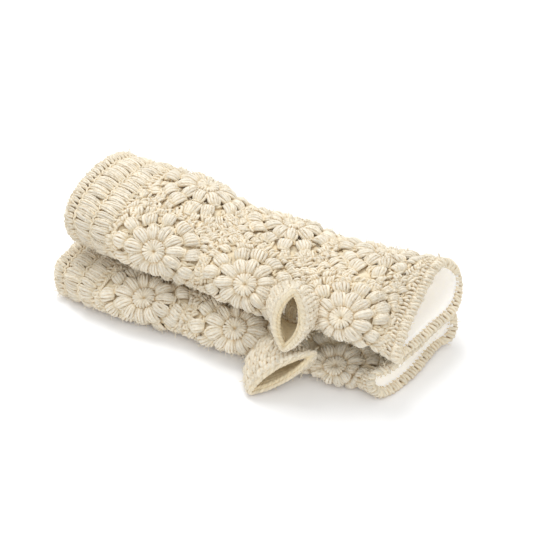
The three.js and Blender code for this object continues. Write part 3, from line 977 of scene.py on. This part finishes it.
def thumbRows(host, low, high, rows, random):
    # rounds of short stitches, each a pair of strands that lean apart towards the mouth
    strands = []
    count = thumbWork["stitches"]
    edges = np.linspace(low, high, rows + 1)
    for row in range(rows):
        a, b = edges[row], edges[row + 1]
        over = (b - a) * 0.2
        for k in range(count):
            for s in (-1, 1):
                strands.append(thumbStrand(host, np.linspace(a - over, b + over, 4),
                                           (k + 0.5 + s * np.array([0.06, 0.17, 0.3, 0.42])) / count,
                                           (-2.6, -0.4, 0.0, -1.6), thumbWork["radius"], random))
    return strands


def thumbRope(host, out, height, radius, phase):
    # two strands wound round each other that follow the mouth's rim
    count = thumbWork["ropeTurns"]
    v = np.linspace(0, 1, count * 4 + 1)
    made = []
    for way in (0, 0.5):
        angle = (v * count + way + phase) * turn
        lift = height + 0.55 * np.sin(angle)
        t = 1 + (out + 0.55 * np.cos(angle)) / host["length"]
        made.append((onThumb(host, t, v, lift), radius, lift, 0.5 + 0.3 * way))
    return made


def thumbBacks(host, low, high, depth, shade=0.45):
    # the wool's inner side, ribbed by its rounds; the lower its shade value, the darker its painted shade
    v, t = np.meshgrid(np.arange(96) / 96, np.linspace(low, high, 26))
    ribs = 0.3 * np.cos(t * host["length"] / 4.2 * turn) + 0.12 * np.cos(v * turn * thumbWork["stitches"])
    return sheetObject("backs", onThumb(host, t, v, depth + ribs), material=wool, depth=shade)


def thumbWalls(host, label, strands, low, high, innerHigh):
    # a round's strands with the layers of backs below them; the inner layer, inside the tube, gets the
    # darkest painted shade
    name = host["name"] + label
    return joined(name, [spun(name, strands), thumbBacks(host, low, high, -2.4),
                         thumbBacks(host, low, innerHigh, 0.4 - thumbWork["wall"], 0.0)])


def thumbTubePiece(host, random):
    high = 1 - thumbWork["edging"] / host["length"]
    strands = thumbRows(host, thumbWork["start"], high, thumbWork["rows"] - 1, random)
    return thumbWalls(host, "ThumbTube", strands, thumbWork["backsFrom"], high, high)


def thumbEdgingPiece(host, random):
    low, high = 1 - thumbWork["edging"] / host["length"], 1 - 1 / host["length"]
    strands = thumbRows(host, low, high, 1, random)
    for out, height, radius, phase in ((-1.4, -0.4, 1.4, 0), (0.3, -2.2, 1.7, 0.3), (-0.9, -4.6, 1.5, 0.7)):
        strands += thumbRope(host, out, height, radius, phase)
    return thumbWalls(host, "ThumbEdging", strands, low, high, 1 - 2 / host["length"])


def thumbLiningPiece(host):
    end = 1 - thumbWork["liningSetBack"] / host["length"]
    v, t = np.meshgrid(np.arange(110) / 110, np.linspace(thumbWork["backsFrom"], end, 16))
    depth = -thumbWork["liningDepth"] - thumbWork["liningThick"] / 2
    ripple = 0.25 * np.sin(v * turn * 11 + t * 23) + 0.2 * np.sin(t * 60 + v * turn * 4)
    return sheetObject(host["name"] + "ThumbLining", onThumb(host, t, v, depth + ripple), None,
                       thumbWork["liningThick"], fleece, 1.0)


def thumbHemPiece(host, random):
    at = 1 - thumbWork["liningSetBack"] / host["length"]
    count = hem["thumbStitches"]
    strands = [thumbStrand(host, at + np.array([-1, 0, 1]) * 0.8 / host["length"],
                           k / count + np.linspace(-0.006, 0.006, 3), (-5.6, -6.5, -5.4), hem["radius"],
                           random)
               for k in range(count)]
    return spun(host["name"] + "ThumbHem", strands, 5)


hairs = dict(sleeveDensity=52000.0, length=0.0046, thickness=0.05, thumbDensity=60000.0)


def hairPiece(name, pieces, density, seed):
    # loose fibres that stand off the wool of one body
    source = joined(name + "Source", [addObject("copy", piece.data.copy()) for piece in pieces])
    return baked(source, looseHairs, name, Density=density, Length=hairs["length"],
                 Thickness=hairs["thickness"], Seed=seed, Fibre=looseFibre)


def makeGlove(name):
    host, thumb = hosts[name], thumbHosts[name]
    random = np.random.RandomState(gloves[name]["seed"])
    body = name + "_glove"
    woolly = []

    def add(piece, node, slot="wool"):
        finishPiece(piece, f"{name}_{node}", body)
        if slot == "wool":
            woolly.append(piece)

    add(wristEdgingPiece(host, random), "wrist_edging")
    add(cuffPiece(host, random), "cuff")
    add(fingerEdgingPiece(host, random), "finger_edging")
    for row, side in enumerate(("near", "far", "under")):
        for column in range(sleeveParts["along"]):
            add(squareOnSleeve(host, column, row, random), f"square_{side}_{column + 1}")
    add(braidPiece(host, random), "joining_braid")
    cloth = liningPiece(host)
    add(cloth, "lining", "fleece")
    add(hemPiece(host, name + "HemWrist", lining["wristBack"], 1, random), "hem_thread_wrist", "thread")
    add(hemPiece(host, name + "HemFingers", sleeveLength - lining["underBack"], -1, random),
        "hem_thread_fingers", "thread")
    fibres = hairPiece(name + "SleeveHairs", woolly, hairs["sleeveDensity"], gloves[name]["seed"])
    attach(fibres, body)

    start, end = thumb["middle"] + thumb["out"] * 6, thumb["root"] + thumb["out"] * 9
    across = (body, name + "_thumb", tuple(start * mm), tuple(end * mm))
    thumbWool = []
    for piece, node, slot in ((thumbTubePiece(thumb, random), "thumb_tube", "wool"),
                              (thumbEdgingPiece(thumb, random), "thumb_edging", "wool"),
                              (thumbLiningPiece(thumb), "thumb_lining", "fleece"),
                              (thumbHemPiece(thumb, random), "thumb_hem_thread", "thread")):
        finishPiece(piece, f"{name}_{node}", None, across)
        if slot == "wool":
            thumbWool.append(piece)
    fibres = hairPiece(name + "ThumbHairs", thumbWool, hairs["thumbDensity"], gloves[name]["seed"] + 1)
    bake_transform(fibres)
    print(name, "glove ready")


for name in gloves:
    makeGlove(name)
